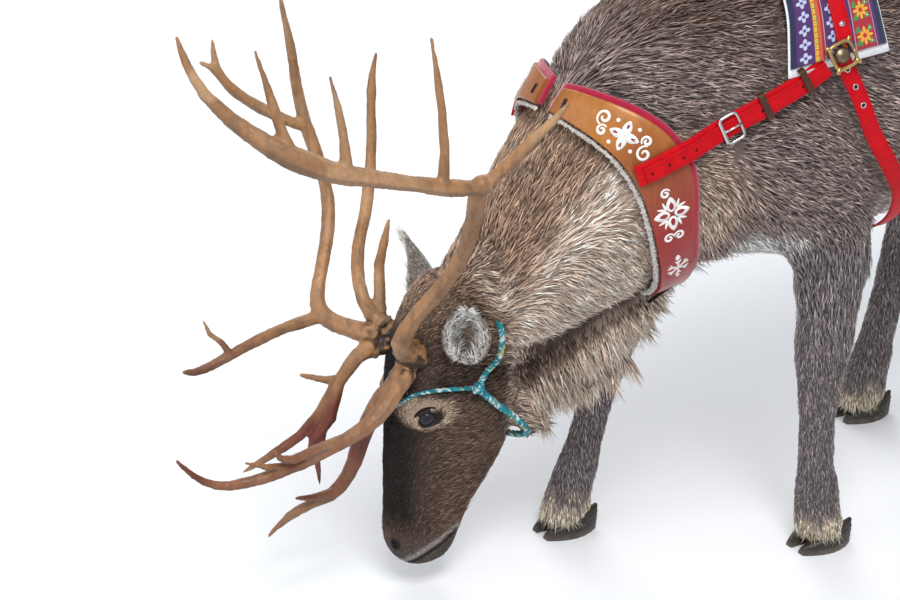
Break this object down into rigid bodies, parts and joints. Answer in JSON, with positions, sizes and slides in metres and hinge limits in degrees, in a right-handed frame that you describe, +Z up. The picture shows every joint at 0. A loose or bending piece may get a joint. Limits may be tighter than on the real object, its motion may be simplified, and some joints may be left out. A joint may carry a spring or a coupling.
{
  "type": "reindeer",
  "caption": "Life-size model of a standing reindeer with branching antlers, nose down to the ground, in a red pulling collar and back harness.",
  "frame": {"origin": "middle of the box round the animal, at the ground", "axes": "+Z up, -X the way the animal faces, -Y its left side"},
  "size_m": [2.03, 0.6802, 1.122],
  "materials": {
    "antler": "satin, tan to red-brown with paler tips",
    "strap": "bright red, slightly glossy",
    "buckle": "polished, lightly worn",
    "hoof": "dull dark horn",
    "collar_lacquer": "smooth, orange-brown to red with pale painted ornament",
    "collar_felt": "crimson felt",
    "fleece": "white curly fleece",
    "coat_body": "long grey-brown winter fur",
    "eye": "wet glossy dark brown",
    "fitting": "worn, dull in the hollows",
    "rope": "braided turquoise cord",
    "coat_face": "short dark fur",
    "coat_leg": "short grizzled dark fur",
    "saddle_pad": "woven ribbon bands on felt",
    "coat_pale": "long white fur"
  },
  "bodies": {
    "root": {"antler_left_beam": "antler", "antler_left_brow": "antler", "antler_left_palm": "antler", "antler_left_rear": "antler", "antler_left_shovel": "antler", "antler_right_beam": "antler", "antler_right_brow": "antler", "antler_right_fork": "antler", "antler_right_rear": "antler", "antler_right_shovel": "antler", "back_strap": "strap", "buckle_left": "buckle", "buckle_right": "buckle", "claw_front_left_inner": "hoof", "claw_front_left_outer": "hoof", "claw_front_right_inner": "hoof", "claw_front_right_outer": "hoof", "claw_hind_left_inner": "hoof", "claw_hind_left_outer": "hoof", "claw_hind_right_inner": "hoof", "claw_hind_right_outer": "hoof", "collar_board_left": "collar_lacquer", "collar_board_right": "collar_lacquer", "collar_felt_left": "collar_felt", "collar_felt_right": "collar_felt", "collar_fleece_left": "fleece", "collar_fleece_right": "fleece", "dewclaws_front_left": "hoof", "dewclaws_front_right": "hoof", "dewclaws_hind_left": "hoof", "dewclaws_hind_right": "hoof", "ear_left": "coat_body", "ear_right": "coat_body", "eye_left": "eye", "eye_right": "eye", "fitting_left": "fitting", "fitting_right": "fitting", "girth": "strap", "halter_rope": "rope", "head": "coat_face", "leg_front_left_lower": "coat_leg", "leg_front_left_upper": "coat_body", "leg_front_right_lower": "coat_leg", "leg_front_right_upper": "coat_body", "leg_hind_left_lower": "coat_leg", "leg_hind_left_upper": "coat_body", "leg_hind_right_lower": "coat_leg", "leg_hind_right_upper": "coat_body", "neck": "coat_body", "saddle_pad": "saddle_pad", "tail": "coat_pale", "torso": "coat_body", "trace_left": "strap", "trace_right": "strap"}
  },
  "joints": []
}
